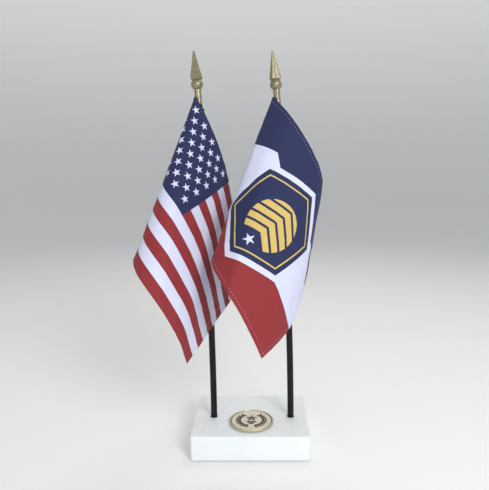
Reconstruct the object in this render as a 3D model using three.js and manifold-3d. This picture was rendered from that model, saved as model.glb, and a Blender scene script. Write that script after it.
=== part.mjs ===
// A desk flag stand: a painted wood block with a medallion on its top face, and two staffs that each
// carry a spear finial and a small cloth flag. Millimetres, +Z up. The origin is on the surface that the
// stand rests on, under the middle of the block, and the front of the block faces -Y.

import * as THREE from 'three';
import { mergeVertices } from 'three/addons/utils/BufferGeometryUtils.js';
import Module from 'manifold-3d';

const wasm = await Module();
wasm.setup();

// Driving dimensions

const clearance = 0.3;

const padHeight = 0.6;
const padInset = 2.5;
const blockWidth = 86.2;
const blockDepth = 68.5;
const blockHeight = 18.5;
const blockEdge = 0.8;
const blockCorner = 1.4;
const blockTop = padHeight + blockHeight;

const staffRadius = 2.4;
const staffLength = 248;
const staffSpacing = 58.8;
const staffMiddle = 0.9;
const staffRow = -2.6;
const holeRadius = 2.75;
const holeDepth = 14.8;
const boreRadius = 1.4;
const boreDepth = 6.5;
const staffFoot = blockTop - holeDepth + clearance;
const staffTop = staffFoot + staffLength;
const bowPower = 1.6;

const neckRadius = 2.35;
const pegRadius = 1.1;
const pegLength = 5.8;
const ballRadius = 4.15;
const ballCentre = 13.7;
const spearBottom = 17;
const spearShoulder = 17.9;
const spearTip = 36.4;
const spearHalfDiagonal = 4.75;
const finialLean = -2;

const medallionRadius = 16.3;
const medallionHeight = 1.9;
const medallionRim = 1.1;
const medallionFloor = 1.1;
const medallionFaceHeight = 0.5;
const medallionPlace = { x: 0.4, y: -12.6 };
const tapeHeight = 0.4;
const tapeInset = 1;

const flagFly = 152.4;
const sleeveShort = 8.5;
const cornerWidth = 2.6;
const clothThickness = 0.8;
const sleeveInner = 2.8;
const sleeveOuter = 3.3;
const hoistOffset = sleeveOuter + clearance + clothThickness / 2;

// Materials

function paint(color, roughness, metalness) {
  return new THREE.MeshStandardMaterial({ color, roughness, metalness });
}

const whitePaint = paint(0xf0f3f5, 0.45, 0);
const darkFelt = paint(0x2b2d30, 1, 0);
const tapeFoam = paint(0xd8d8d4, 0.9, 0);
const antiqueGold = paint(0xb3a36c, 0.35, 1);
const paleSilver = paint(0xcfccc4, 0.35, 1);
const blackLacquer = paint(0x1f1d20, 0.4, 0);
const mouldedGold = paint(0xa3976a, 0.35, 0.8);
const navyCloth = paint(0x33395f, 0.8, 0);
const redCloth = paint(0x9a3a42, 0.8, 0);

// Each side of the stand. Its staff is bowed: straight up at the block, and pulled over by its flag to
// `sway` at the top. `hoist` is the flag's width along the staff. `leaves` is the compass direction, in
// degrees from +X, in which the cloth leaves the staff. Each bend says where a fold line meets the bottom
// and the top edge of the flat flag, measured from the hoist, and how far the cloth has turned there in
// all, in degrees.

const sides = [
  {
    name: 'left',
    x: staffMiddle - staffSpacing / 2,
    sway: -7.65,
    spearTurn: -20,
    hoist: 103.6,
    flagTop: 258,
    leaves: 181,
    cloth: redCloth,
    bends: [
      [0, 0, 0],
      [41, 1.7, 39],
      [104.5, 3.1, 203],
      [114, 8.6, 204],
      [134, 26.3, 217],
      [140, 68.9, 237.4],
      [195, 79.8, 239.4],
    ],
  },
  {
    name: 'right',
    x: staffMiddle + staffSpacing / 2,
    sway: -10.8,
    spearTurn: 20,
    hoist: 101.6,
    flagTop: 257.5,
    leaves: 187,
    cloth: navyCloth,
    bends: [
      [0, 0, 0],
      [54, 4, 48],
      [89, 7, 132],
      [104, 9, 133],
      [108, 33, 179],
      [124, 62, 197],
      [220, 86, 254],
    ],
  },
];

const foldsPerBend = 8;
const columnsToFly = 8;
const clothRows = 9;

// Solids: a geometry becomes a manifold solid for a boolean, and a solid becomes a geometry again.

function toSolid(geometry) {
  const bare = geometry.clone();
  bare.deleteAttribute('normal');
  bare.deleteAttribute('uv');
  const merged = mergeVertices(bare, 1e-4);
  return new wasm.Manifold(new wasm.Mesh({
    numProp: 3,
    vertProperties: new Float32Array(merged.attributes.position.array),
    triVerts: new Uint32Array(merged.index.array),
  }));
}

function toGeometry(solid) {
  const mesh = solid.getMesh();
  const geometry = new THREE.BufferGeometry();
  geometry.setAttribute('position', new THREE.BufferAttribute(new Float32Array(mesh.vertProperties), 3));
  geometry.setIndex(new THREE.BufferAttribute(new Uint32Array(mesh.triVerts), 1));
  geometry.computeVertexNormals();
  return geometry;
}

// A solid of revolution about Z, from [radius, height] pairs listed from the bottom up.
function turned(profile, segments, start = 0) {
  const points = profile.map(([radius, height]) => new THREE.Vector2(radius, height));
  return new THREE.LatheGeometry(points, segments, start).rotateX(Math.PI / 2);
}

function rod(radius, bottom, top, segments) {
  return turned([[0, bottom], [radius, bottom], [radius, top], [0, top]], segments);
}

// A block with rounded upright corners and rounded edges, standing on Z = 0.
function roundedBlock(width, depth, height, corner, edge) {
  const x = width / 2 - edge;
  const y = depth / 2 - edge;
  const outline = new THREE.Shape();
  outline.moveTo(-x + corner, -y);
  outline.lineTo(x - corner, -y);
  outline.absarc(x - corner, -y + corner, corner, -Math.PI / 2, 0);
  outline.absarc(x - corner, y - corner, corner, 0, Math.PI / 2);
  outline.absarc(-x + corner, y - corner, corner, Math.PI / 2, Math.PI);
  outline.absarc(-x + corner, -y + corner, corner, Math.PI, Math.PI * 1.5);
  const block = new THREE.ExtrudeGeometry(outline, {
    depth: height - 2 * edge,
    bevelEnabled: edge > 0,
    bevelThickness: edge,
    bevelSize: edge,
    bevelSegments: 3,
    curveSegments: 5,
  });
  return block.translate(0, 0, edge);
}

// The bow of a staff: how far it has swayed at a height, and its slope there.
function bow(side, height) {
  const rise = Math.max(0, height - blockTop) / (staffTop - blockTop);
  return {
    shift: side.sway * rise ** bowPower,
    slope: bowPower * side.sway * rise ** (bowPower - 1) / (staffTop - blockTop),
  };
}

// Block, pad and medallion

function makeBlock() {
  let solid = toSolid(roundedBlock(blockWidth, blockDepth, blockHeight, blockCorner, blockEdge)
    .translate(0, 0, padHeight));
  for (const side of sides) {
    const hole = rod(holeRadius, blockTop - holeDepth, blockTop + 1, 24).translate(side.x, staffRow, 0);
    solid = solid.subtract(toSolid(hole));
  }
  return toGeometry(solid);
}

function makePad() {
  return roundedBlock(blockWidth - 2 * padInset, blockDepth - 2 * padInset, padHeight, 2.5, 0);
}

function medallionPart(profile) {
  return turned(profile, 48).translate(medallionPlace.x, medallionPlace.y, blockTop);
}

function makeTape() {
  const radius = medallionRadius - tapeInset;
  return medallionPart([[0, 0], [radius, 0], [radius, tapeHeight], [0, tapeHeight]]);
}

function makeMedallionBody() {
  const top = tapeHeight + medallionHeight;
  const inner = medallionRadius - medallionRim;
  return medallionPart([
    [0, tapeHeight],
    [medallionRadius - 0.3, tapeHeight],
    [medallionRadius, tapeHeight + 0.3],
    [medallionRadius, top - 0.3],
    [medallionRadius - 0.3, top],
    [inner + 0.3, top],
    [inner, top - 0.3],
    [inner, tapeHeight + medallionFloor],
    [0, tapeHeight + medallionFloor],
  ]);
}

function makeMedallionFace() {
  const bottom = tapeHeight + medallionFloor;
  const radius = medallionRadius - medallionRim - clearance;
  const top = bottom + medallionFaceHeight;
  return medallionPart([[0, bottom], [radius, bottom], [radius, top], [0, top]]);
}

// Staffs and finials

// A round staff with a bore in its top end for the finial's peg, bent to its bow.
function makeStaff(side) {
  const chamfer = 0.4;
  const bends = 24;
  const profile = [[0, staffFoot], [staffRadius - chamfer, staffFoot], [staffRadius, staffFoot + chamfer]];
  for (let i = 0; i <= bends; i += 1) {
    const height = blockTop + (staffTop - chamfer - blockTop) * i / bends;
    profile.push([staffRadius, height]);
  }
  profile.push([staffRadius - chamfer, staffTop]);
  profile.push([boreRadius, staffTop]);
  profile.push([boreRadius, staffTop - boreDepth]);
  profile.push([0, staffTop - boreDepth]);
  const staff = turned(profile, 16);
  const position = staff.attributes.position;
  for (let i = 0; i < position.count; i += 1) {
    position.setX(i, position.getX(i) + bow(side, position.getZ(i)).shift);
  }
  return staff.translate(side.x, staffRow, 0);
}

// Peg, neck and ball are turned as one, and the four-sided spear stands on the ball. Z = 0 is the top of
// the staff.
function makeFinial() {
  const profile = [[0, -pegLength], [pegRadius, -pegLength], [pegRadius, clearance], [neckRadius, clearance]];
  const steps = 10;
  const neckMeets = Math.asin(neckRadius / ballRadius);
  for (let i = 0; i <= steps; i += 1) {
    const angle = neckMeets + (Math.PI * 0.85 - neckMeets) * i / steps;
    profile.push([ballRadius * Math.sin(angle), ballCentre - ballRadius * Math.cos(angle)]);
  }
  profile.push([0, spearBottom + 0.6]);
  const turnedPart = toSolid(turned(profile, 20));
  const spear = turned([
    [0, spearBottom],
    [spearHalfDiagonal * 0.88, spearBottom],
    [spearHalfDiagonal, spearShoulder],
    [spearHalfDiagonal * 0.5, spearShoulder + (spearTip - spearShoulder) * 0.47],
    [0.25, spearTip],
    [0, spearTip],
  ], 4, Math.PI / 4);
  return toGeometry(turnedPart.add(toSolid(spear)));
}

// Flags

// How far the cloth's top edge drops beside the staff, where it runs down to the top of the sleeve.
function cornerDrop(across) {
  return sleeveShort * Math.max(0, 1 - across / cornerWidth) ** 2;
}

function makeSleeve(side) {
  return turned([
    [sleeveInner, 0],
    [sleeveOuter, 0],
    [sleeveOuter, side.hoist - sleeveShort],
    [sleeveInner, side.hoist - sleeveShort],
    [sleeveInner, 0],
  ], 20);
}

// The bends of a flag as many small folds. The cloth stays flat between two fold lines, so it keeps its
// length and width. Each strip between folds gets the matrix that carries the flat flag, hoist edge on Y
// and bottom edge on X, to its place.
function foldStrips(side) {
  const leaves = THREE.MathUtils.degToRad(side.leaves);
  const along = new THREE.Vector3(Math.cos(leaves), Math.sin(leaves), 0);
  const up = new THREE.Vector3(0, 0, 1);
  const face = new THREE.Vector3().crossVectors(along, up);
  const place = new THREE.Matrix4().makeBasis(along, up, face);
  place.setPosition(face.clone().multiplyScalar(-hoistOffset));
  const strips = [{ bottom: 0, top: 0, place: place.clone() }];
  for (let b = 1; b < side.bends.length; b += 1) {
    const [fromBottom, fromTop, fromTurn] = side.bends[b - 1];
    const [toBottom, toTop, toTurn] = side.bends[b];
    const turn = THREE.MathUtils.degToRad(toTurn - fromTurn) / foldsPerBend;
    for (let i = 0; i < foldsPerBend; i += 1) {
      const share = (i + 0.5) / foldsPerBend;
      const bottom = fromBottom + (toBottom - fromBottom) * share;
      const top = fromTop + (toTop - fromTop) * share;
      const low = new THREE.Vector3(bottom, 0, 0).applyMatrix4(place);
      const line = new THREE.Vector3(top, side.hoist, 0).applyMatrix4(place).sub(low).normalize();
      const fold = new THREE.Matrix4().makeRotationAxis(line, turn);
      const there = new THREE.Matrix4().makeTranslation(low.x, low.y, low.z);
      const back = new THREE.Matrix4().makeTranslation(-low.x, -low.y, -low.z);
      place.premultiply(back).premultiply(fold).premultiply(there);
      strips.push({ bottom, top, place: place.clone() });
    }
  }
  return strips;
}

// The flat flag's columns of points follow its fold lines, and the last ones fan out to the fly edge.
function columnLines(side) {
  const inner = side.bends.slice(0, -1);
  const lines = [[0, 0]];
  for (let b = 1; b <= inner.length; b += 1) {
    const [fromBottom, fromTop] = inner[b - 1];
    const [toBottom, toTop] = inner[b] ?? [flagFly, flagFly];
    const columns = inner[b] ? foldsPerBend : columnsToFly;
    for (let i = 1; i <= columns; i += 1) {
      const share = i / columns;
      lines.push([fromBottom + (toBottom - fromBottom) * share, fromTop + (toTop - fromTop) * share]);
    }
  }
  return lines;
}

// Where a point of the flat flag hangs, and which way the cloth faces there.
function hang(side, strips, across, up) {
  const share = up / side.hoist;
  const passed = strips.filter(({ bottom, top }) => across >= bottom + (top - bottom) * share);
  const { place } = passed[passed.length - 1] ?? strips[0];
  return {
    point: new THREE.Vector3(across, up, 0).applyMatrix4(place),
    face: new THREE.Vector3().setFromMatrixColumn(place, 2),
  };
}

// The cloth as a thin closed shell, with one layer of points on each face.
function makeCloth(side) {
  const strips = foldStrips(side);
  const lines = columnLines(side);
  const wide = lines.length;
  const points = [];
  for (const half of [clothThickness / 2, -clothThickness / 2]) {
    for (let row = 0; row <= clothRows; row += 1) {
      const share = row / clothRows;
      for (const [bottom, top] of lines) {
        const across = bottom + (top - bottom) * share;
        const up = (side.hoist - cornerDrop(across)) * share;
        const { point, face } = hang(side, strips, across, up);
        point.addScaledVector(face, half);
        points.push(point.x, point.y, point.z);
      }
    }
  }
  const faces = [];
  const quad = (a, b, c, d) => faces.push(a, b, c, a, c, d);
  const layer = wide * (clothRows + 1);
  for (let row = 0; row < clothRows; row += 1) {
    for (let column = 0; column < wide - 1; column += 1) {
      const a = row * wide + column;
      quad(a, a + 1, a + wide + 1, a + wide);
      quad(a + layer, a + layer + wide, a + layer + wide + 1, a + layer + 1);
    }
  }
  const rim = [];
  for (let column = 0; column < wide - 1; column += 1) {
    rim.push(column);
  }
  for (let row = 0; row < clothRows; row += 1) {
    rim.push(row * wide + wide - 1);
  }
  for (let column = wide - 1; column > 0; column -= 1) {
    rim.push(clothRows * wide + column);
  }
  for (let row = clothRows; row > 0; row -= 1) {
    rim.push(row * wide);
  }
  rim.forEach((here, i) => {
    const next = rim[(i + 1) % rim.length];
    quad(here, here + layer, next + layer, next);
  });
  const geometry = new THREE.BufferGeometry();
  geometry.setAttribute('position', new THREE.Float32BufferAttribute(points, 3));
  geometry.setIndex(faces);
  geometry.computeVertexNormals();
  return geometry;
}

// Assembly. Each finial sits a little askew in its bore, as they do on the real stand.

function named(name, geometry, material) {
  const mesh = new THREE.Mesh(geometry, material);
  mesh.name = name;
  return mesh;
}

const stand = new THREE.Group();
stand.add(named('base_block', makeBlock(), whitePaint));
stand.add(named('felt_pad', makePad(), darkFelt));
stand.add(named('medallion_tape', makeTape(), tapeFoam));
stand.add(named('medallion_body', makeMedallionBody(), antiqueGold));
stand.add(named('medallion_face', makeMedallionFace(), paleSilver));

for (const side of sides) {
  stand.add(named(`${side.name}_staff`, makeStaff(side), blackLacquer));

  const top = bow(side, staffTop);
  const finial = named(`${side.name}_finial`, makeFinial(), mouldedGold);
  const tilt = Math.atan(top.slope) + THREE.MathUtils.degToRad(finialLean);
  finial.rotation.set(0, tilt, THREE.MathUtils.degToRad(side.spearTurn), 'YZX');
  finial.position.set(side.x + top.shift, staffRow, staffTop);
  stand.add(finial);

  // The flag hangs on the straight line through the two ends of its stretch of the staff, moved over by
  // half of the bow between them, so that the sleeve turns freely about the staff.
  const upper = bow(side, side.flagTop).shift;
  const lower = bow(side, side.flagTop - side.hoist).shift;
  const middle = bow(side, side.flagTop - side.hoist / 2).shift;
  const centring = (middle - (upper + lower) / 2) / 2;
  const flag = new THREE.Group();
  flag.position.set(side.x + lower + centring, staffRow, side.flagTop - side.hoist);
  flag.rotation.y = Math.atan((upper - lower) / side.hoist);
  flag.add(named(`${side.name}_sleeve`, makeSleeve(side), navyCloth));
  flag.add(named(`${side.name}_flag_cloth`, makeCloth(side), side.cloth));
  stand.add(flag);
}

export default stand;
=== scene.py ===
"""A desk flag stand: a painted wood block with a medallion, and two staffs that each carry a spear finial
and a small printed flag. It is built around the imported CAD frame. Sizes here are in millimetres, and
every mesh is scaled to metres as it is made."""

import math

import bmesh
import bpy
import numpy as np
from mathutils import Matrix, Vector, noise


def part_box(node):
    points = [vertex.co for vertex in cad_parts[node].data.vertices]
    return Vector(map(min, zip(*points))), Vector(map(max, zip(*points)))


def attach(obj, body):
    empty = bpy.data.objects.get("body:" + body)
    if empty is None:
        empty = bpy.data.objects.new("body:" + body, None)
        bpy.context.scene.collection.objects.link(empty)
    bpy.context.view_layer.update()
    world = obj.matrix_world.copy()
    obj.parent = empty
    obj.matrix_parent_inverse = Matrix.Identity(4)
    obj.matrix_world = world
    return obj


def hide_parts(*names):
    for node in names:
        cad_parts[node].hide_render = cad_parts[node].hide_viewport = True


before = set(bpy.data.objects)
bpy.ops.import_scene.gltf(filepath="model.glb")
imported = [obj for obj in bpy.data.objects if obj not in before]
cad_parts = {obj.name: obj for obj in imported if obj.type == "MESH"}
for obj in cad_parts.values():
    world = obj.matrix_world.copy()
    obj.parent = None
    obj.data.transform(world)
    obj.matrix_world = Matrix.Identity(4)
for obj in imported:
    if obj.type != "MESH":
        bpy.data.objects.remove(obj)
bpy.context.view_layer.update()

MM = 0.001

# Sizes shared with the CAD, and those read from its nodes


def node_box(name):
    low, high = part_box(name)
    return Vector(low) / MM, Vector(high) / MM


BLOCK_LOW, BLOCK_HIGH = node_box("base_block")
BLOCK_TOP = BLOCK_HIGH.z
MEDALLION_LOW, MEDALLION_HIGH = node_box("medallion_body")
MEDALLION_CENTRE = (MEDALLION_LOW + MEDALLION_HIGH) / 2
MEDALLION_RADIUS = (MEDALLION_HIGH.x - MEDALLION_LOW.x) / 2
FACE_LOW, FACE_HIGH = node_box("medallion_face")
FACE_RADIUS = (FACE_HIGH.x - FACE_LOW.x) / 2

STAFF_ROW = -2.6
STAFF_SPACING = 58.8
STAFF_MIDDLE = 0.9
BOW_POWER = 1.6
FINIAL_LEAN = -2
STAFF_RADIUS = 2.4
STAFF_TOP = 252.6
STAFF_FOOT = 4.6
HOLE_RADIUS = 2.75
HOLE_DEPTH = 14.8
PEG_HOLE_RADIUS = 1.35
PEG_HOLE_DEPTH = 6.3

RIGHT_HOIST = 101.6
LEFT_HOIST = 103.6
STRIPE = RIGHT_HOIST / 13
FLY = 152.4
CLOTH = 0.34
CLOTH_OFFSET = 4.0
HEM = 3.1
STITCH_INSET = HEM - 0.55
FOLDS_PER_BEND = 40

# Each side of the stand. The staff is pulled over by `sway` at its top. `leaves` is the compass direction
# in which the cloth leaves the staff. Each bend says where a fold line meets the bottom and the top edge
# of the flat flag, from the hoist, and how far the cloth has turned there in all, in degrees. The left
# cloth is folded a little more loosely here than its solid in the CAD is.
SIDES = [
    {
        "name": "left",
        "hoist": LEFT_HOIST,
        "x": STAFF_MIDDLE - STAFF_SPACING / 2,
        "sway": -7.65,
        "spear_turn": -20,
        "flag_top": 258,
        "leaves": 181,
        "bends": [
            (0, 0, 0),
            (30, 1.6, 24),
            (112, 3.1, 208),
            (115, 8.6, 209),
            (134, 26.3, 222),
            (140, 68.9, 241),
            (195, 79.8, 243),
        ],
    },
    {
        "name": "right",
        "hoist": RIGHT_HOIST,
        "x": STAFF_MIDDLE + STAFF_SPACING / 2,
        "sway": -10.8,
        "spear_turn": 20,
        "flag_top": 257.5,
        "leaves": 187,
        "bends": [
            (0, 0, 0),
            (54, 4, 48),
            (89, 7, 132),
            (104, 9, 133),
            (108, 33, 179),
            (124, 62, 197),
            (220, 86, 254),
        ],
    },
]


def bow(side, height):
    """How far a staff has swayed at a height, and its slope there."""
    rise = max(0, height - BLOCK_TOP) / (STAFF_TOP - BLOCK_TOP)
    shift = side["sway"] * rise**BOW_POWER
    slope = BOW_POWER * side["sway"] * rise ** (BOW_POWER - 1) / (STAFF_TOP - BLOCK_TOP)
    return shift, slope


# Camera and light


def make_camera():
    data = bpy.data.cameras.new("camera")
    data.sensor_fit = "HORIZONTAL"
    data.sensor_width = 36
    data.lens = 38.28
    data.shift_x = -0.0337
    data.clip_start = 0.01
    camera = bpy.data.objects.new("camera", data)
    camera.location = (0.00757, -0.38027, 0.20709)
    camera.rotation_euler = (math.radians(81.75), 0, 0)
    bpy.context.collection.objects.link(camera)
    bpy.context.scene.camera = camera


def make_area_light(name, place, aim, size, power, colour):
    data = bpy.data.lights.new(name, "AREA")
    data.shape = "RECTANGLE"
    data.size, data.size_y = size
    data.energy = power
    data.color = colour
    light = bpy.data.objects.new(name, data)
    light.location = place
    light.rotation_euler = (Vector(aim) - Vector(place)).to_track_quat("-Z", "Y").to_euler()
    bpy.context.collection.objects.link(light)


def make_lights():
    flags = (-0.005, -0.01, 0.17)
    make_area_light("key", (0.36, -0.7, 0.5), flags, (0.3, 0.3), 4.4, (0.97, 0.99, 1))
    make_area_light("fill", (-0.5, -0.8, 0.3), flags, (0.5, 0.4), 1.4, (0.97, 0.98, 1))
    make_area_light("crown", (0.1, 0.35, 0.85), flags, (0.8, 0.5), 2.6, (1, 0.96, 0.91))
    world = bpy.data.worlds.new("studio")
    world.use_nodes = True
    background = world.node_tree.nodes["Background"]
    background.inputs["Color"].default_value = (0.88, 0.9, 0.92, 1)
    background.inputs["Strength"].default_value = 0.41
    bpy.context.scene.world = world
    bpy.context.scene.view_settings.view_transform = "Standard"


# Materials: numbers and colours inside a node tree take part in ordinary arithmetic.


def linear(red, green, blue):
    """A colour of 0 to 255 a channel as the linear colour that shaders take."""
    shares = (red / 255, green / 255, blue / 255)
    return tuple(c / 12.92 if c <= 0.04045 else ((c + 0.055) / 1.055) ** 2.4 for c in shares) + (1,)


class Number:
    def __init__(self, tree, socket):
        self.tree = tree
        self.socket = socket

    def calc(self, operation, *values):
        node = self.tree.nodes.new("ShaderNodeMath")
        node.operation = operation
        for slot, value in zip(node.inputs, values):
            plug(self.tree, slot, value)
        return Number(self.tree, node.outputs[0])

    def __add__(self, other):
        return self.calc("ADD", self, other)

    def __sub__(self, other):
        return self.calc("SUBTRACT", self, other)

    def __rsub__(self, other):
        return self.calc("SUBTRACT", other, self)

    def __mul__(self, other):
        return self.calc("MULTIPLY", self, other)

    def __truediv__(self, other):
        return self.calc("DIVIDE", self, other)

    def __lt__(self, other):
        return self.calc("LESS_THAN", self, other)

    def __gt__(self, other):
        return self.calc("GREATER_THAN", self, other)

    def __abs__(self):
        return self.calc("ABSOLUTE", self)

    def lower(self, other):
        return self.calc("MINIMUM", self, other)

    def higher(self, other):
        return self.calc("MAXIMUM", self, other)

    def wave(self, period):
        return self.calc("SINE", self * (2 * math.pi / period))

    def centred(self, period):
        """The distance from the nearest whole number of periods, from -period/2 to period/2."""
        return self.calc("WRAP", self, period / 2, -period / 2)

    def step(self, start, end, low=0.0, high=1.0):
        """Turns smoothly from low to high as this number goes from start to end."""
        node = self.tree.nodes.new("ShaderNodeMapRange")
        node.interpolation_type = "SMOOTHSTEP"
        for slot, value in zip(node.inputs, (self, start, end, low, high)):
            plug(self.tree, slot, value)
        return Number(self.tree, node.outputs[0])


def plug(tree, slot, value):
    if isinstance(value, Number):
        tree.links.new(value.socket, slot)
    else:
        slot.default_value = value


class Finish:
    """A material made of nodes. What is the same all over goes straight on the shader's sockets."""

    def __init__(self, name, sockets):
        self.material = bpy.data.materials.new(name)
        self.material.use_nodes = True
        self.tree = self.material.node_tree
        self.shader = self.tree.nodes["Principled BSDF"]
        for socket, value in sockets.items():
            self.shader.inputs[socket].default_value = value

    def node(self, kind, **settings):
        made = self.tree.nodes.new(kind)
        for setting, value in settings.items():
            setattr(made, setting, value)
        return made

    def split(self, vector):
        parts = self.node("ShaderNodeSeparateXYZ")
        self.tree.links.new(vector, parts.inputs[0])
        return [Number(self.tree, output) for output in parts.outputs]

    def place(self):
        """x, y and z of a point in millimetres."""
        metres = self.split(self.node("ShaderNodeTexCoord").outputs["Object"])
        return [value * (1 / MM) for value in metres]

    def flat(self):
        """Where a point of a flag is on the flat cloth, in millimetres from its hoist and bottom edge."""
        across, up, _ = self.split(self.node("ShaderNodeUVMap", uv_map="flat").outputs[0])
        return across, up

    def noise(self, vector, size, detail=2.0, roughness=0.5):
        """Cloudy noise from 0 to 1. vector is three numbers in millimetres, size is that of one cloud."""
        joined = self.node("ShaderNodeCombineXYZ")
        for slot, value in zip(joined.inputs, vector):
            plug(self.tree, slot, value)
        cloud = self.node("ShaderNodeTexNoise")
        self.tree.links.new(joined.outputs[0], cloud.inputs["Vector"])
        cloud.inputs["Scale"].default_value = 1 / size
        cloud.inputs["Detail"].default_value = detail
        cloud.inputs["Roughness"].default_value = roughness
        return Number(self.tree, cloud.outputs["Fac"])

    def mix(self, share, one, other):
        blend = self.node("ShaderNodeMix", data_type="RGBA")
        plug(self.tree, blend.inputs[0], share)
        plug(self.tree, blend.inputs[6], one)
        plug(self.tree, blend.inputs[7], other)
        return Number(self.tree, blend.outputs[2])

    def colour(self, value):
        plug(self.tree, self.shader.inputs["Base Color"], value)

    def roughness(self, value):
        plug(self.tree, self.shader.inputs["Roughness"], value)

    def bump(self, height, depth):
        """Raises the surface by height, from 0 to 1, times depth in millimetres."""
        raised = self.node("ShaderNodeBump")
        raised.inputs["Distance"].default_value = depth * MM
        plug(self.tree, raised.inputs["Height"], height)
        self.tree.links.new(raised.outputs[0], self.shader.inputs["Normal"])


def white_paint():
    finish = Finish("white_paint", {"Specular IOR Level": 0.45, "Coat Weight": 0.12, "Coat Roughness": 0.3})
    x, y, z = finish.place()
    cloud = finish.noise((x, y, z), 30, 3)
    speck = finish.noise((x, y, z), 0.9, 3, 0.7)
    grain = finish.noise((x / 24, y, z), 1.1, 3, 0.6)
    height = z - BLOCK_LOW.z
    scuffed = finish.noise((x, y, z), 4, 4, 0.7).step(0.5, 0.72)
    top_edge = abs(z - BLOCK_HIGH.z).step(0, 1.1, 1, 0)
    foot_edge = abs(height).step(0, 1.1, 1, 0)
    worn = top_edge.higher(foot_edge) * scuffed * 0.22
    plain = finish.mix(cloud, linear(227, 230, 231), linear(235, 239, 241))
    brushed = finish.mix(grain.step(0.55, 0.8) * 0.25, plain, linear(216, 215, 210))
    finish.colour(finish.mix(worn, brushed, linear(206, 200, 186)))
    finish.roughness(cloud * 0.1 + speck * 0.12 + 0.34)
    finish.bump(speck * 0.4 + grain * 0.6, 0.06)
    return finish


def raw_wood():
    """The wood that shows in the staff holes."""
    finish = Finish("raw_wood", {"Specular IOR Level": 0.2})
    x, y, z = finish.place()
    grain = finish.noise((x / 20, y, z), 0.5, 3, 0.6)
    finish.colour(finish.mix(grain, linear(150, 132, 104), linear(104, 88, 66)))
    finish.roughness(grain * 0.2 + 0.7)
    finish.bump(grain, 0.1)
    return finish


def felt():
    finish = Finish("felt", {"Sheen Weight": 0.4, "Sheen Roughness": 0.5, "Specular IOR Level": 0.1})
    x, y, z = finish.place()
    fibre = finish.noise((x, y, z * 0.3), 0.35, 5, 0.75)
    cloud = finish.noise((x, y, z), 6, 2)
    finish.colour(finish.mix(fibre * 0.7 + cloud * 0.3, linear(24, 25, 28), linear(62, 63, 68)))
    finish.roughness(fibre * 0.1 + 0.88)
    finish.bump(fibre, 0.25)
    return finish


def foam_tape():
    finish = Finish("foam_tape", {"Specular IOR Level": 0.2})
    x, y, z = finish.place()
    cells = finish.noise((x, y, z), 0.15, 3, 0.7)
    finish.colour(finish.mix(cells, linear(196, 196, 190), linear(224, 224, 220)))
    finish.roughness(cells * 0.15 + 0.8)
    finish.bump(cells, 0.05)
    return finish


def black_lacquer():
    finish = Finish(
        "black_lacquer", {"Specular IOR Level": 0.24, "Coat Weight": 0.04, "Coat Roughness": 0.3}
    )
    x, y, z = finish.place()
    grain = finish.noise((x, y, z / 60), 0.28, 3, 0.65)
    cloud = finish.noise((x, y, z / 4), 3, 3)
    dust = finish.noise((x, y, z), 0.5, 4, 0.8).step(0.66, 0.78)
    lacquer = finish.mix(grain * 0.6 + cloud * 0.4, linear(6, 6, 8), linear(16, 15, 18))
    finish.colour(finish.mix(dust * 0.12, lacquer, linear(110, 106, 102)))
    finish.roughness(cloud * 0.16 + dust * 0.15 + 0.3)
    finish.bump(grain * 0.8 + cloud * 0.2, 0.07)
    return finish


def moulded_gold():
    """Gold-painted finials: clouded with tarnish, and rubbed brighter in fine spots."""
    finish = Finish("moulded_gold", {"Metallic": 0.65, "Specular IOR Level": 0.5})
    x, y, z = finish.place()
    cloud = finish.noise((x, y, z), 2.2, 4, 0.6)
    pits = finish.noise((x, y, z), 0.5, 4, 0.75)
    tarnish = cloud.step(0.4, 0.75)
    worn = pits.step(0.35, 0.7)
    gold = finish.mix(tarnish, linear(150, 142, 113), linear(112, 105, 82))
    finish.colour(finish.mix(worn * 0.3, gold, linear(166, 158, 132)))
    finish.roughness(cloud * 0.12 + pits * 0.1 + 0.3)
    finish.bump(pits * 0.6 + cloud * 0.4, 0.07)
    return finish


def medallion_gold():
    finish = Finish("medallion_gold", {"Metallic": 0.95, "Specular IOR Level": 0.5})
    x, y, z = finish.place()
    cloud = finish.noise((x, y, z), 1.6, 4, 0.6)
    east, north = x - MEDALLION_CENTRE.x, y - MEDALLION_CENTRE.y
    away = east.calc("SQRT", east * east + north * north)
    crevice = abs(away - FACE_RADIUS - 0.2).step(0.1, 0.35, 1, 0)
    # painted shade: the coin's side is darkened towards the block below it
    low = z.step(BLOCK_TOP, BLOCK_TOP + 1.3, 1, 0)
    # patina in the ring where rim meets face and in clouds, together with that painted shade
    patina_and_painted_shade = (crevice + low * 0.4 + cloud.step(0.5, 0.8) * 0.5).lower(1)
    finish.colour(finish.mix(patina_and_painted_shade, linear(208, 200, 170), linear(106, 96, 68)))
    finish.roughness(patina_and_painted_shade * 0.25 + cloud * 0.15 + 0.24)
    finish.bump(cloud, 0.05)
    return finish


def medallion_silver():
    finish = Finish("medallion_silver", {"Metallic": 0.4, "Specular IOR Level": 0.5})
    x, y, z = finish.place()
    sand = finish.noise((x, y, z), 0.16, 4, 0.7)
    cloud = finish.noise((x, y, z), 3, 3)
    finish.colour(finish.mix(cloud * 0.5 + sand * 0.5, linear(236, 231, 216), linear(202, 196, 178)))
    finish.roughness(sand * 0.2 + 0.34)
    finish.bump(sand, 0.06)
    return finish


def antique_relief():
    """The medallion's raised design, dark in its hollows and rubbed brighter on top."""
    finish = Finish("antique_relief", {"Metallic": 0.7, "Specular IOR Level": 0.5})
    x, y, z = finish.place()
    rubbed = z.step(FACE_HIGH.z + 0.25, FACE_HIGH.z + 0.62)
    cloud = finish.noise((x, y, z), 0.6, 4, 0.7)
    share = (rubbed * 0.55 + cloud * 0.35).lower(1)
    finish.colour(finish.mix(share, linear(60, 54, 38), linear(156, 147, 116)))
    finish.roughness(cloud * 0.2 + 0.32)
    finish.bump(cloud, 0.04)
    return finish


RED = linear(145, 51, 55)
WHITE = linear(215, 218, 240)
NAVY = linear(43, 49, 86)
GOLD = linear(212, 184, 106)


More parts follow.
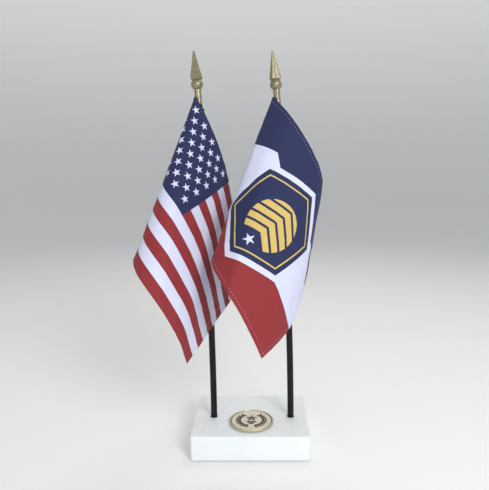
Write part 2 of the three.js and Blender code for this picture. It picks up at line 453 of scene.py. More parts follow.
def star_mask(across, up, radius):
    """1 inside a five-pointed star about 0, 0, with one point up."""
    tip = math.pi / 5
    notch = radius * 0.382
    notch_x, notch_y = notch * math.cos(tip), notch * math.sin(tip)
    away = across.calc("SQRT", across * across + up * up)
    turn = across.calc("ARCTAN2", across, up).centred(2 * tip)
    along = away * turn.calc("COSINE", turn)
    beside = away * abs(turn.calc("SINE", turn))
    return along * notch_y + beside * (radius - notch_x) < radius * notch_y


def flag_finish(name, print_colour):
    """A printed polyester flag: a fine plain weave, slubs along both threads, and a soft sheen."""
    finish = Finish(name, {"Sheen Weight": 0.06, "Sheen Roughness": 0.45, "Specular IOR Level": 0.18})
    across, up = finish.flat()
    printed = print_colour(finish, across, up)
    thread = 0.42
    warp = across.wave(thread) * 0.5 + 0.5
    weft = up.wave(thread) * 0.5 + 0.5
    weave = warp * weft
    slub = finish.noise((across / 14, up, 0.0), 0.35, 2, 0.6) * 0.5
    slub = slub + finish.noise((across, up / 14, 7.0), 0.35, 2, 0.6) * 0.5
    cloud = finish.noise((across, up, 3.0), 14, 3)
    shade = (slub.step(0.25, 0.75) * 0.55 + weave * 0.25 + cloud * 0.2).lower(1)
    dark = finish.node("ShaderNodeMix", data_type="RGBA", blend_type="MULTIPLY")
    plug(finish.tree, dark.inputs[0], 1.0)
    plug(finish.tree, dark.inputs[6], printed)
    plug(finish.tree, dark.inputs[7], finish.mix(shade, (0.84, 0.84, 0.85, 1), (1.06, 1.06, 1.06, 1)))
    finish.colour(Number(finish.tree, dark.outputs[2]))
    finish.roughness(slub * 0.15 + 0.62)
    finish.bump(weave * 0.5 + slub * 0.5, 0.07)
    return finish


CANTON_EDGE = 67.6
CANTON_BOTTOM = 6 * STRIPE
STAR_COLUMN = 6.02
STAR_ROW = 5.41
FIRST_STAR = (59.4, 54.8)
STAR_RADIUS = 3.15


def striped_print(finish, across, up):
    odd = abs((up - STRIPE / 2).centred(2 * STRIPE)) > STRIPE / 2
    stripes = finish.mix(odd, RED, WHITE)
    even_rows = star_mask(
        (across - FIRST_STAR[0]).centred(2 * STAR_COLUMN),
        (up - FIRST_STAR[1]).centred(2 * STAR_ROW),
        STAR_RADIUS,
    )
    odd_rows = star_mask(
        (across - FIRST_STAR[0] + STAR_COLUMN).centred(2 * STAR_COLUMN),
        (up - FIRST_STAR[1] - STAR_ROW).centred(2 * STAR_ROW),
        STAR_RADIUS,
    )
    between = (up > FIRST_STAR[1] + 1) * (up < FIRST_STAR[1] + 8 * STAR_ROW - 1)
    odd_rows = odd_rows * between * (across < FIRST_STAR[0])
    even_rows = even_rows * (up > FIRST_STAR[1] - STAR_ROW) * (across < FIRST_STAR[0] + STAR_COLUMN)
    stars = even_rows.higher(odd_rows)
    canton = (across < CANTON_EDGE) * (up > CANTON_BOTTOM)
    return finish.mix(canton, stripes, finish.mix(stars, NAVY, WHITE))


EMBLEM = (82.9, 50.3)
BADGE = (85.0, 47.5)
BADGE_STAR = (84.8, 29.8)
BADGE_RADIUS = 16.8
BADGE_STAR_RADIUS = 4.2
HEXAGON_WHITE = 33.9
HEXAGON_NAVY = 30.1
HEXAGON_LINE = 26.3
LINE_HALF = 0.5
CHEVRON_PITCH = 6.6
CHEVRON_HALF = 2.35


def banded_print(finish, across, up):
    """A navy, a white and a red band whose edges follow a hexagon, which holds a generic gold badge."""
    beside = abs(across - EMBLEM[0])
    above = abs(up - EMBLEM[1])
    peaks = (94 - beside * 0.42).higher(beside * 0.42 + 45.2)
    upper = (89.5 - beside * 0.577).higher((beside * 0.49 + 60.6).lower(peaks))
    lower = (beside * 0.577 + 11.1).lower(30.5)
    bands = finish.mix(up > upper, finish.mix(up < lower, WHITE, RED), NAVY)
    hexagon = beside.higher(beside * 0.5 + above * 0.866)
    bands = finish.mix(hexagon < HEXAGON_WHITE, bands, WHITE)
    bands = finish.mix(hexagon < HEXAGON_NAVY, bands, NAVY)
    bands = finish.mix(abs(hexagon - HEXAGON_LINE) < LINE_HALF, bands, GOLD)
    side = abs(across - BADGE[0])
    rise = up - BADGE[1]
    chevron = (rise + side * 0.5).centred(CHEVRON_PITCH)
    bars = abs(chevron) < CHEVRON_HALF
    disc = side.calc("SQRT", side * side + rise * rise * 0.8) < BADGE_RADIUS
    badge = bars * disc * (rise + side * 0.5 > -9.9)
    bands = finish.mix(badge, bands, GOLD)
    star = star_mask(across - BADGE_STAR[0], up - BADGE_STAR[1], BADGE_STAR_RADIUS)
    return finish.mix(star, bands, WHITE)


def stitch_thread(name, dark, light):
    finish = Finish(name, {"Sheen Weight": 0.1, "Specular IOR Level": 0.3})
    x, y, z = finish.place()
    ply = finish.noise((x, y, z), 0.2, 2)
    finish.colour(finish.mix(ply, dark, light))
    finish.roughness(ply * 0.2 + 0.45)
    finish.bump(ply, 0.03)
    return finish


def backdrop():
    """A pale studio backdrop. Its upright part has a painted glow: an emission that stands in for lamp light
    on the paper.
    """
    finish = Finish("backdrop", {"Base Color": (0.9, 0.9, 0.9, 1), "Roughness": 0.9})
    finish.shader.inputs["Emission Color"].default_value = (1, 1, 1, 1)
    _, _, z = finish.place()
    # painted glow, rising with height on the upright part
    plug(finish.tree, finish.shader.inputs["Emission Strength"], z.step(0, 1400, 0, 0.22))
    return finish


# Meshes


def make_piece(name, points, faces, finish, body, flat=None):
    """A piece from points in millimetres. flat gives each point's place on the flat cloth."""
    mesh = bpy.data.meshes.new(name)
    mesh.from_pydata([tuple(c * MM for c in point) for point in points], [], faces)
    mesh.polygons.foreach_set("use_smooth", [True] * len(mesh.polygons))
    if flat is not None:
        layer = mesh.uv_layers.new(name="flat")
        corners = np.empty(len(mesh.loops), dtype=np.int64)
        mesh.loops.foreach_get("vertex_index", corners)
        layer.data.foreach_set("uv", np.asarray(flat, dtype=np.float32)[corners].ravel())
    mesh.materials.append(finish.material)
    mesh.update()
    piece = bpy.data.objects.new(name, mesh)
    bpy.context.collection.objects.link(piece)
    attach(piece, body)
    return piece


def sharpen(piece, degrees):
    """Marks the edges that are sharper than this, so that smooth shading stops there."""
    work = bmesh.new()
    work.from_mesh(piece.data)
    for edge in work.edges:
        edge.smooth = edge.is_manifold and edge.calc_face_angle(0) < math.radians(degrees)
    work.to_mesh(piece.data)
    work.free()
    weighted = piece.modifiers.new("weighted", "WEIGHTED_NORMAL")
    weighted.keep_sharp = True


def loft(rings, closed_ends=True):
    """Points and faces of a skin over rings that have the same number of points, from the bottom up."""
    around = len(rings[0])
    points = [point for ring in rings for point in ring]
    faces = []
    for level in range(len(rings) - 1):
        for i in range(around):
            here, beside = level * around + i, level * around + (i + 1) % around
            faces.append((here, beside, beside + around, here + around))
    if closed_ends:
        faces.append(tuple(reversed(range(around))))
        faces.append(tuple(range(len(points) - around, len(points))))
    return points, faces


def ring(radius, height, around, centre=(0, 0)):
    turns = [2 * math.pi * i / around for i in range(around)]
    return [(centre[0] + radius * math.cos(a), centre[1] + radius * math.sin(a), height) for a in turns]


def arc(centre, radius, start, end, steps):
    """[radius, height] pairs along an arc of a turned profile, from start to end degrees."""
    turns = [math.radians(start + (end - start) * i / steps) for i in range(steps + 1)]
    return [(centre[0] + radius * math.cos(a), centre[1] + radius * math.sin(a)) for a in turns]


# Block and its staff holes


BLOCK_CORNER = 2.2
BLOCK_EDGE = 0.8


def make_block():
    size = BLOCK_HIGH - BLOCK_LOW
    centre = (BLOCK_HIGH + BLOCK_LOW) / 2
    work = bmesh.new()
    bmesh.ops.create_cube(work, size=1)
    bmesh.ops.scale(work, vec=size, verts=work.verts)
    bmesh.ops.translate(work, vec=centre, verts=work.verts)
    upright = [e for e in work.edges if abs(e.verts[0].co.z - e.verts[1].co.z) > 1]
    bmesh.ops.bevel(work, geom=upright, offset=BLOCK_CORNER, segments=6, profile=0.5, affect="EDGES")
    level = [e for e in work.edges if abs(e.calc_face_angle(0)) > 1.2]
    bmesh.ops.bevel(work, geom=level, offset=BLOCK_EDGE, segments=4, profile=0.5, affect="EDGES")
    points = [tuple(v.co) for v in work.verts]
    faces = [tuple(v.index for v in f.verts) for f in work.faces]
    work.free()
    block = make_piece("block", points, faces, FINISHES["white_paint"], "base")
    block.data.materials.append(FINISHES["raw_wood"].material)
    for side in SIDES:
        drill(block, side["x"])
    sharpen(block, 32)
    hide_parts("base_block")


def drill(block, x):
    """Cuts one blind staff hole with a small countersink, and leaves raw wood inside it."""
    floor = BLOCK_TOP - HOLE_DEPTH
    sink = 0.12
    profile = [
        (HOLE_RADIUS, floor),
        (HOLE_RADIUS, BLOCK_TOP - sink),
        (HOLE_RADIUS + sink, BLOCK_TOP),
        (HOLE_RADIUS + sink, BLOCK_TOP + 2),
    ]
    points, faces = loft([ring(radius, height, 48, (x, STAFF_ROW)) for radius, height in profile])
    bit = make_piece("drill", points, faces, FINISHES["raw_wood"], "base")
    cut = block.modifiers.new("hole", "BOOLEAN")
    cut.operation = "DIFFERENCE"
    cut.solver = "EXACT"
    cut.material_mode = "TRANSFER"
    cut.object = bit
    apply_modifiers(block)
    bpy.data.objects.remove(bit)


def apply_modifiers(piece):
    bpy.context.view_layer.update()
    graph = bpy.context.evaluated_depsgraph_get()
    done = bpy.data.meshes.new_from_object(piece.evaluated_get(graph))
    piece.modifiers.clear()
    old = piece.data
    piece.data = done
    bpy.data.meshes.remove(old)


# Medallion


def turned_piece(name, profile, around, finish, body, place=(0, 0)):
    points, faces = loft([ring(radius, height, around, place) for radius, height in profile])
    return make_piece(name, points, faces, finish, body)


def make_medallion():
    centre = (MEDALLION_CENTRE.x, MEDALLION_CENTRE.y)
    bottom, top = MEDALLION_LOW.z, MEDALLION_HIGH.z
    floor = FACE_LOW.z
    inner = FACE_RADIUS + 0.3
    bead = (MEDALLION_RADIUS - inner) / 2 - 0.1
    profile = [(MEDALLION_RADIUS - 0.5, bottom), (MEDALLION_RADIUS - 0.12, bottom + 0.2)]
    profile += [(MEDALLION_RADIUS, bottom + 0.45), (MEDALLION_RADIUS, top - 0.75)]
    profile += arc((MEDALLION_RADIUS - bead, top - bead), bead, 0, 175, 12)
    profile += [(inner + 0.08, top - 0.95), (inner, floor)]
    body = turned_piece("medallion_blank", profile, 128, FINISHES["medallion_gold"], "base", centre)
    sharpen(body, 50)
    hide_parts("medallion_body")

    profile = [(FACE_RADIUS, FACE_LOW.z), (FACE_RADIUS, FACE_HIGH.z - 0.15), (FACE_RADIUS - 0.3, FACE_HIGH.z)]
    profile += [(FACE_RADIUS - 0.9, FACE_HIGH.z), (FACE_RADIUS - 1.1, FACE_HIGH.z - 0.12)]
    dome = 8
    for i in range(dome):
        radius = (FACE_RADIUS - 1.5) * (1 - i / dome)
        profile.append((radius, FACE_HIGH.z - 0.12 + 0.1 * (1 - (radius / FACE_RADIUS) ** 2)))
    face = turned_piece("medallion_disc", profile, 128, FINISHES["medallion_silver"], "base", centre)
    sharpen(face, 40)
    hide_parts("medallion_face")
    make_relief(centre, FACE_HIGH.z - 0.15)
    make_beads(centre)


def relief_dome(points, faces, outline, height, base, crown=0.6):
    """Adds a raised shape: its outline, a smaller outline higher up, and a ridge point in the middle."""
    start = len(points)
    count = len(outline)
    middle = Vector((sum(p[0] for p in outline) / count, sum(p[1] for p in outline) / count))
    for share, rise in ((1, 0), (1, 0.35), (crown, 0.85), (0.08, 1)):
        for x, y in outline:
            spot = middle + (Vector((x, y)) - middle) * share
            points.append((spot.x, spot.y, base + height * rise))
    for level in range(3):
        for i in range(count):
            here, beside = start + level * count + i, start + level * count + (i + 1) % count
            faces.append((here, beside, beside + count, here + count))
    faces.append(tuple(start + i for i in reversed(range(count))))
    faces.append(tuple(start + 3 * count + i for i in range(count)))


def star_outline(centre, radius, turn=0.0):
    reach = [radius if i % 2 == 0 else radius * 0.42 for i in range(10)]
    turns = [turn + math.pi / 2 + math.pi * i / 5 for i in range(10)]
    return [(centre[0] + r * math.cos(a), centre[1] + r * math.sin(a)) for r, a in zip(reach, turns)]


def leaf_outline(root, direction, length, width):
    """A pointed leaf as a closed outline, from its root along a direction in radians."""
    along = Vector((math.cos(direction), math.sin(direction)))
    beside = Vector((-along.y, along.x))
    steps = 7
    outline = []
    for sign, order in ((-1, range(steps)), (1, range(steps, 0, -1))):
        for i in order:
            share = i / steps
            spread = sign * width / 2 * math.sin(math.pi * share) ** 0.8 if 0 < share < 1 else 0
            outline.append(tuple(Vector(root) + along * length * share + beside * spread))
    return outline


LAUREL_REACH = 9.6
LEAF_LENGTH = 3.8
LEAF_WIDTH = 1.9
LEAF_LEAN = 0.55


def make_relief(centre, base):
    """A generic design: a large star over bars that narrow downwards, between two laurel branches."""
    points, faces = [], []
    spot = Vector(centre)
    relief_dome(points, faces, star_outline(spot + Vector((0, 2.9)), 4.9), 0.6, base, 0.55)
    bars = 3
    for i in range(bars):
        y = spot.y - 2.9 - 1.7 * i
        half = 4.2 - 1.1 * i
        outline = [(spot.x - half, y), (spot.x + half, y), (spot.x + half - 0.6, y + 1.15)]
        outline.append((spot.x - half + 0.6, y + 1.15))
        relief_dome(points, faces, outline, 0.45, base, 0.75)
    for sign in (-1, 1):
        leaves = 8
        for i in range(leaves):
            turn = math.radians(-78 + 118 * i / (leaves - 1))
            root = spot + LAUREL_REACH * Vector((sign * math.cos(turn), math.sin(turn)))
            heading = turn + math.pi / 2
            for lean in (-LEAF_LEAN, LEAF_LEAN):
                aim = heading + lean
                direction = math.atan2(math.sin(aim), sign * math.cos(aim))
                outline = leaf_outline(root, direction, LEAF_LENGTH, LEAF_WIDTH)
                if sign < 0:
                    outline.reverse()
                relief_dome(points, faces, outline, 0.5, base, 0.6)
    work = make_piece("medallion_relief", points, faces, FINISHES["antique_relief"], "base")
    fix_normals(work)
    sharpen(work, 60)


def make_beads(centre):
    """A ring of fine beads just inside the rim."""
    points, faces = [], []
    count = 72
    bead_radius = 0.26
    reach = FACE_RADIUS - 0.62
    for i in range(count):
        turn = 2 * math.pi * i / count
        spot = (centre[0] + reach * math.cos(turn), centre[1] + reach * math.sin(turn))
        outline = [(x, y) for x, y, _ in ring(bead_radius, 0, 8, spot)]
        relief_dome(points, faces, outline, 0.3, FACE_HIGH.z - 0.06, 0.7)
    beads = make_piece("medallion_beads", points, faces, FINISHES["medallion_gold"], "base")


def fix_normals(piece):
    work = bmesh.new()
    work.from_mesh(piece.data)
    bmesh.ops.recalc_face_normals(work, faces=work.faces)
    work.to_mesh(piece.data)
    work.free()


# Staffs and finials


def make_staff(side):
    """A round dowel with softened ends, bent to its bow, with small swellings as turned wood has."""
    bends = 90
    profile = [(STAFF_RADIUS - 0.4, STAFF_FOOT), (STAFF_RADIUS - 0.1, STAFF_FOOT + 0.12)]
    profile += [(STAFF_RADIUS, STAFF_FOOT + 0.4)]
    for i in range(1, bends):
        height = STAFF_FOOT + 0.4 + (STAFF_TOP - 0.8 - STAFF_FOOT) * i / bends
        swell = 0.03 * noise.noise(Vector((side["x"], 0, height / 9)))
        profile.append((STAFF_RADIUS + swell, height))
    profile += [(STAFF_RADIUS, STAFF_TOP - 0.4), (STAFF_RADIUS - 0.1, STAFF_TOP - 0.12)]
    profile += [(STAFF_RADIUS - 0.4, STAFF_TOP)]
    profile += [(PEG_HOLE_RADIUS, STAFF_TOP), (PEG_HOLE_RADIUS, STAFF_TOP - PEG_HOLE_DEPTH)]
    rings = []
    for radius, height in profile:
        shift, _ = bow(side, height)
        rings.append(ring(radius, height, 40, (side["x"] + shift, STAFF_ROW)))
    points, faces = loft(rings)
    name = side["name"] + "_dowel"
    staff = make_piece(name, points, faces, FINISHES["black_lacquer"], side["name"] + "_staff")
    sharpen(staff, 50)
    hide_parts(side["name"] + "_staff")


BALL_RADIUS = 4.15
BALL_CENTRE = 13.7
NECK_RADIUS = 2.35
SPEAR_BOTTOM = 17.0
SPEAR_SHOULDER = 17.9
SPEAR_TIP = 36.4
SPEAR_HALF_DIAGONAL = 4.75


def spear_ring(reach, height, hollow):
    """A four-sided outline with softened corners and slightly hollow sides."""
    around = 48
    outline = []
    for i in range(around):
        turn = 2 * math.pi * i / around
        off_corner = abs((turn + math.pi / 4) % (math.pi / 2) - math.pi / 4)
        edge = 1 / (math.cos(off_corner) + math.sin(off_corner))
        softened = edge - 0.05 * math.exp(-((off_corner / 0.1) ** 2))
        dished = softened * (1 - hollow * math.sin(2 * off_corner) ** 2)
        angle = turn + math.pi / 4
        outline.append((reach * dished * math.cos(angle), reach * dished * math.sin(angle), height))
    return outline


def make_finial(side):
    shift, slope = bow(side, STAFF_TOP)
    place = Matrix.Translation((side["x"] + shift, STAFF_ROW, STAFF_TOP))
    place = place @ Matrix.Rotation(math.atan(slope) + math.radians(FINIAL_LEAN), 4, "Y")
    place = place @ Matrix.Rotation(math.radians(side["spear_turn"]), 4, "Z")

    profile = [(0.9, -5.8), (1.1, -5.5), (1.1, 0.3), (NECK_RADIUS - 0.15, 0.3), (NECK_RADIUS, 0.5)]
    profile += [(NECK_RADIUS, 1.6), (NECK_RADIUS - 0.08, 1.8), (NECK_RADIUS - 0.1, 3.2), (NECK_RADIUS, 5.4)]
    meets = math.degrees(math.asin(NECK_RADIUS / BALL_RADIUS)) - 90
    profile += [(NECK_RADIUS + 0.05, BALL_CENTRE + BALL_RADIUS * math.sin(math.radians(meets)) - 0.35)]
    profile += arc((0, BALL_CENTRE), BALL_RADIUS, meets, 66, 22)
    shaft, shaft_faces = loft([ring(radius, height, 64) for radius, height in profile])

    rings = []
    levels = [(0.62, SPEAR_BOTTOM - 0.5), (0.84, SPEAR_BOTTOM), (0.95, SPEAR_SHOULDER - 0.5)]
    levels += [(0.99, SPEAR_SHOULDER - 0.18), (1, SPEAR_SHOULDER + 0.1), (0.985, SPEAR_SHOULDER + 0.5)]
    steps = 14
    for i in range(1, steps):
        share = i / steps
        levels.append((0.985 - 0.81 * share - 0.06 * share * (1 - share), None))
    for i, (reach, height) in enumerate(levels):
        share = max(0, i - 5) / steps
        if height is None:
            height = SPEAR_SHOULDER + 0.5 + (SPEAR_TIP - 0.75 - SPEAR_SHOULDER - 0.5) * share
        hollow = 0.04 * math.sin(math.pi * min(1, 0.15 + share)) if i > 3 else 0.03
        rings.append(spear_ring(SPEAR_HALF_DIAGONAL * reach, height, hollow))
    for reach, drop in ((0.17, 0.6), (0.15, 0.25), (0.105, 0.06), (0.045, 0)):
        rings.append(spear_ring(SPEAR_HALF_DIAGONAL * reach, SPEAR_TIP - drop, 0))
    spear, spear_faces = loft(rings)

    points = [tuple(place @ Vector(p)) for p in shaft + spear]
    faces = shaft_faces + [tuple(i + len(shaft) for i in face) for face in spear_faces]
    name = side["name"] + "_spear"
    finial = make_piece(name, points, faces, FINISHES["moulded_gold"], side["name"] + "_staff")
    sharpen(finial, 28)
    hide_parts(side["name"] + "_finial")


# Flags


class Drape:
    """How a flag hangs. It carries a point of the flat cloth to its place by many small folds, so that
    the cloth keeps its length and width."""

    def __init__(self, side):
        self.hoist = side["hoist"]
        foot = side["flag_top"] - self.hoist
        lower, _ = bow(side, foot)
        middle, _ = bow(side, foot + self.hoist / 2)
        upper, _ = bow(side, side["flag_top"])
        centring = (middle - (upper + lower) / 2) / 2
        stand = Matrix.Translation((side["x"] + lower + centring, STAFF_ROW, foot))
        self.stand = stand @ Matrix.Rotation(math.atan((upper - lower) / self.hoist), 4, "Y")
        leaves = math.radians(side["leaves"])
        along = Vector((math.cos(leaves), math.sin(leaves), 0))
        up = Vector((0, 0, 1))
        face = along.cross(up)
        start = Matrix((along, up, face)).transposed().to_4x4()
        start.translation = -CLOTH_OFFSET * face
        place = self.stand @ start
        self.bottoms, self.tops = [], []
        places = [place.copy()]
        for (b0, t0, turn0), (b1, t1, turn1) in zip(side["bends"], side["bends"][1:]):
            turn = math.radians(turn1 - turn0) / FOLDS_PER_BEND
            for i in range(FOLDS_PER_BEND):
                share = (i + 0.5) / FOLDS_PER_BEND
                bottom, top = b0 + (b1 - b0) * share, t0 + (t1 - t0) * share
                low = place @ Vector((bottom, 0, 0))
                line = place @ Vector((top, self.hoist, 0)) - low
                fold = Matrix.Rotation(turn, 4, line.normalized())
                place = Matrix.Translation(low) @ fold @ Matrix.Translation(-low) @ place
                self.bottoms.append(bottom)
                self.tops.append(top)
                places.append(place.copy())
        self.bottoms = np.array(self.bottoms)
        self.tops = np.array(self.tops)
        self.places = np.array([[list(row) for row in place] for place in places])
        self.seed = side["x"]

    def hang(self, across, up, off=0.0):
        """The places of points of the flat cloth, off by a distance along the cloth's face."""
        across, up = np.broadcast_arrays(np.asarray(across, float), np.asarray(up, float))
        share = (up / self.hoist)[..., None]
        passed = (across[..., None] >= self.bottoms + (self.tops - self.bottoms) * share).sum(-1)
        ripple = self.ripple(across, up) + off
        flat = np.stack([across, up, ripple, np.ones_like(across)], -1)
        return np.einsum("...ij,...j->...i", self.places[passed], flat)[..., :3]

    def ripple(self, across, up):
        """The small waves that cloth keeps from having been folded and handled."""
        flat_across, flat_up = across.ravel(), up.ravel()
        waves = [
            noise.noise(Vector((a / 26, b / 34, self.seed))) * 0.7
            + noise.noise(Vector((a / 9, b / 15, self.seed + 5))) * 0.16
            + max(0, 1 - 5 * abs(noise.noise(Vector(((a + b) / 17, (a - b) / 40, self.seed + 9))))) * 0.3
            for a, b in zip(flat_across, flat_up)
        ]
        fade = np.clip((across - 6) / 25, 0, 1)
        return np.array(waves).reshape(across.shape) * fade


def hem_lines(length, spacing, first, last):
    """Places of grid lines across a length, closer together in a hem at its first or last end."""
    hem = [0, 0.12, 0.3, 0.6, 1.2, 1.9, 2.5, 2.8, HEM - 0.1, HEM + 0.1, HEM + 0.35, HEM + 0.8]
    start = hem if first else [0]
    end = [length - place for place in reversed(hem)] if last else [length]
    count = math.ceil((end[0] - start[-1]) / spacing)
    between = [start[-1] + (end[0] - start[-1]) * i / count for i in range(1, count)]
    return np.array(start + between + end)


def hem_half(across, up, hoist):
    """Half of the cloth's thickness: the hems are two layers, pinched by their line of stitches."""
    edge = np.minimum(np.minimum(up, hoist - up), FLY - across)
    doubled = np.clip((HEM + 0.12 - edge) / 0.3, 0, 1)
    rounding = np.clip(edge / 0.3, 0, 1) ** 0.5 * 0.6 + 0.4
    pinch = np.exp(-(((edge - STITCH_INSET) / 0.3) ** 2)) * 0.12
    return (CLOTH / 2 + (0.19 - pinch) * doubled) * rounding


def shell_faces(wide, high):
    """The faces of a thin closed shell over two layers of a wide by high grid of points."""
    index = np.arange(wide * high).reshape(high, wide)
    layer = wide * high
    a, b = index[:-1, :-1].ravel(), index[:-1, 1:].ravel()
    c, d = index[1:, 1:].ravel(), index[1:, :-1].ravel()
    faces = np.concatenate([np.stack([a, b, c, d], 1), np.stack([d, c, b, a], 1) + layer]).tolist()
    rim = np.concatenate([index[0, :-1], index[:-1, -1], index[-1, :0:-1], index[:0:-1, 0]])
    nexts = np.roll(rim, -1)
    return faces + np.stack([rim, rim + layer, nexts + layer, nexts], 1).tolist()


NEAR_STAFF = 12
FINE_GRID = 0.4
CLOTH_GRID = 0.85


def make_cloth(side, drape):
    """The flag's cloth from beside the staff to its fly edge, with its hems."""
    near = np.arange(0, NEAR_STAFF, FINE_GRID)
    rest = near[-1] + FINE_GRID
    columns = np.concatenate([near, hem_lines(FLY - rest, CLOTH_GRID, False, True) + rest])
    rows = hem_lines(drape.hoist, CLOTH_GRID, True, True)
    across, up = np.meshgrid(columns, rows)
    half = hem_half(across, up, drape.hoist)
    up = up - up / drape.hoist * top_cut(across)
    front = drape.hang(across, up, half)
    back = drape.hang(across, up, -half)
    points = np.concatenate([front.reshape(-1, 3), back.reshape(-1, 3)]).tolist()
    flat = np.stack([across.ravel(), up.ravel()], 1)
    flat = np.concatenate([flat, flat])
    finish = FINISHES[side["name"] + "_flag"]
    faces = shell_faces(len(columns), len(rows))
    cloth = make_piece(side["name"] + "_flag_sheet", points, faces, finish, side["name"] + "_flag", flat)
    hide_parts(side["name"] + "_flag_cloth")
    return cloth


SLEEVE_RADIUS = 3.45
SLEEVE_TURN = 268
SLEEVE_TAIL = 4.6
TAIL_START = 0.9
TAIL_COLUMNS = 6
SLEEVE_SHORT = 8.5
CORNER_WIDTH = 2.6


def top_cut(across):
    """How far the cloth's top edge drops beside the staff, where it runs down into the sleeve."""
    return SLEEVE_SHORT * (1 - np.clip(np.asarray(across, float) / CORNER_WIDTH, 0, 1)) ** 2


def make_sleeve(side, drape):
    """The cloth's hoist end, which goes round the staff and is sewn down on itself beside it."""
    rows = hem_lines(drape.hoist, 1.2, True, True)
    around = 30
    leaves = math.radians(side["leaves"])
    along = Vector((math.cos(leaves), math.sin(leaves), 0))
    face = along.cross(Vector((0, 0, 1)))
    points, flat = [], []
    fold_bottom, fold_top, _ = side["bends"][1]
    for layer in (CLOTH / 2, -CLOTH / 2):
        for row in rows:
            share = row / drape.hoist
            wobble = 0.1 * noise.noise(Vector((row / 13, 2, side["x"])))
            first_fold = fold_bottom + (fold_top - fold_bottom) * share
            tail = np.linspace(TAIL_START, min(SLEEVE_TAIL, first_fold), TAIL_COLUMNS)
            for i in range(around + 1):
                turn = math.radians(SLEEVE_TURN * i / around)
                reach = SLEEVE_RADIUS + wobble - layer
                up = row - share * SLEEVE_SHORT
                off = SLEEVE_RADIUS - CLOTH_OFFSET - reach * math.cos(turn)
                local = -along * reach * math.sin(turn) + face * off + Vector((0, 0, up))
                points.append(tuple(drape.stand @ local))
                flat.append((-SLEEVE_RADIUS * turn, up))
            up = row - share * top_cut(tail)
            points += [tuple(p) for p in drape.hang(tail, up, CLOTH + 0.03 - layer)]
            flat += list(zip(tail, up))
    name = side["name"] + "_staff_sleeve"
    faces = shell_faces(around + 1 + TAIL_COLUMNS, len(rows))
    finish = FINISHES[side["name"] + "_flag"]
    sleeve = make_piece(name, points, faces, finish, side["name"] + "_flag", flat)
    fix_normals(sleeve)
    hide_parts(side["name"] + "_sleeve")
    return sleeve


STITCH = 2.3
STITCH_LENGTH = 1.2
STITCH_RADIUS = 0.16
STITCH_MARGIN = 0.8


def stitch_lines(hoist):
    """The lines of stitches on a flag, as pairs of ends on the flat cloth. The last is the sleeve's."""
    first, last = SLEEVE_TAIL + 1, FLY - STITCH_MARGIN
    low, high = STITCH_MARGIN, hoist - STITCH_MARGIN
    on_sleeve = SLEEVE_TAIL - 1.1
    return [
        ((first, STITCH_INSET), (last, STITCH_INSET)),
        ((first, hoist - STITCH_INSET), (last, hoist - STITCH_INSET)),
        ((FLY - STITCH_INSET, low), (FLY - STITCH_INSET, high)),
        ((on_sleeve, low), (on_sleeve, high)),
    ]


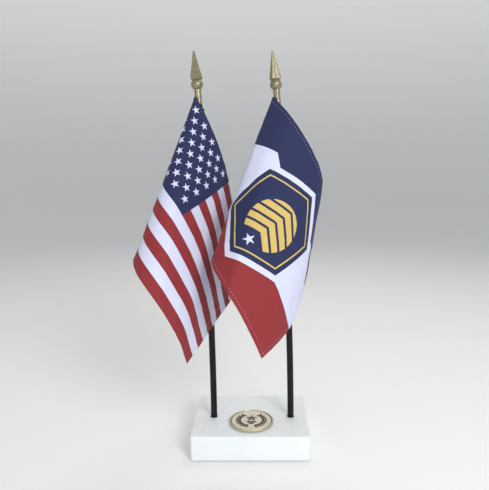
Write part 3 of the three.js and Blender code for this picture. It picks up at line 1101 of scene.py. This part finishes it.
def make_stitches(side, drape):
    """Lockstitches on both faces: each one is a short thread that dives into the cloth at its ends."""
    points, faces = [], []
    around, steps = 6, 6
    for number, (start, end) in enumerate(stitch_lines(drape.hoist)):
        start, end = np.array(start), np.array(end)
        run = np.linalg.norm(end - start)
        count = int(run / STITCH)
        heading = (end - start) / run
        beside = np.array([-heading[1], heading[0]])
        on_sleeve = number == 3
        for i in range(count):
            middle = start + heading * (i + 0.5) * run / count
            for outer in (1, -1):
                rings = []
                for step in range(steps + 1):
                    share = step / steps
                    spread = math.sin(math.pi * share) ** 0.5 if 0 < share < 1 else 0.25
                    along = middle + heading * (share - 0.5) * STITCH_LENGTH
                    half = hem_half(along[0], along[1], drape.hoist)
                    if on_sleeve and outer > 0:
                        half = 1.5 * CLOTH + 0.03
                    lift = half - 0.1 + 0.12 * math.sin(math.pi * share)
                    for turn in range(around):
                        angle = 2 * math.pi * turn / around
                        side_step = STITCH_RADIUS * spread * math.cos(angle)
                        rise = lift + STITCH_RADIUS * spread * math.sin(angle)
                        flat = along + beside * side_step
                        rings.append((flat[0], flat[1], outer * rise))
                first = len(points)
                points += rings
                for step in range(steps):
                    for turn in range(around):
                        here = first + step * around + turn
                        after = first + step * around + (turn + 1) % around
                        faces.append((here, after, after + around, here + around))
                faces.append(tuple(first + turn for turn in reversed(range(around))))
                faces.append(tuple(first + steps * around + turn for turn in range(around)))
    flat = np.array(points)
    placed = drape.hang(flat[:, 0], flat[:, 1], flat[:, 2])
    name = side["name"] + "_flag_stitches"
    finish = FINISHES[side["name"] + "_thread"]
    stitches = make_piece(name, placed.tolist(), faces, finish, side["name"] + "_flag")
    fix_normals(stitches)
    return stitches


def make_flag(side):
    drape = Drape(side)
    cloth = make_cloth(side, drape)
    sleeve = make_sleeve(side, drape)
    stitches = make_stitches(side, drape)


# Floor


def make_floor():
    """A round floor that curves up into a wall far behind everything, so that no horizon shows."""
    flat, curve, wall = 1200, 1600, 1900
    profile = [(1, 0), (flat, 0)]
    profile += [(flat + r, h + curve) for r, h in arc((0, 0), curve, -85, 0, 16)]
    profile += [(flat + curve, wall)]
    points, faces = loft([ring(radius, height, 96) for radius, height in profile])
    faces = [tuple(reversed(face)) for face in faces[:-1]]
    mesh = bpy.data.meshes.new("floor")
    mesh.from_pydata([tuple(c * MM for c in point) for point in points], [], faces)
    mesh.polygons.foreach_set("use_smooth", [True] * len(mesh.polygons))
    mesh.materials.append(backdrop().material)
    floor = bpy.data.objects.new("floor", mesh)
    bpy.context.collection.objects.link(floor)


# The whole scene

FINISHES = {
    "white_paint": white_paint(),
    "raw_wood": raw_wood(),
    "felt": felt(),
    "foam_tape": foam_tape(),
    "black_lacquer": black_lacquer(),
    "moulded_gold": moulded_gold(),
    "medallion_gold": medallion_gold(),
    "medallion_silver": medallion_silver(),
    "antique_relief": antique_relief(),
    "left_thread": stitch_thread("left_thread", linear(104, 74, 88), linear(140, 108, 122)),
    "right_thread": stitch_thread("right_thread", linear(146, 140, 162), linear(186, 180, 198)),
    "left_flag": flag_finish("left_flag_print", striped_print),
    "right_flag": flag_finish("right_flag_print", banded_print),
}


def finish_cad_node(name, finish):
    """A CAD part whose shape is right keeps its mesh and takes a detailed material."""
    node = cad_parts[name]
    for slot in node.material_slots:
        slot.material = finish.material


make_camera()
make_floor()
make_lights()
make_block()
finish_cad_node("felt_pad", FINISHES["felt"])
finish_cad_node("medallion_tape", FINISHES["foam_tape"])
make_medallion()
for stand_side in SIDES:
    make_staff(stand_side)
    make_finial(stand_side)
    make_flag(stand_side)
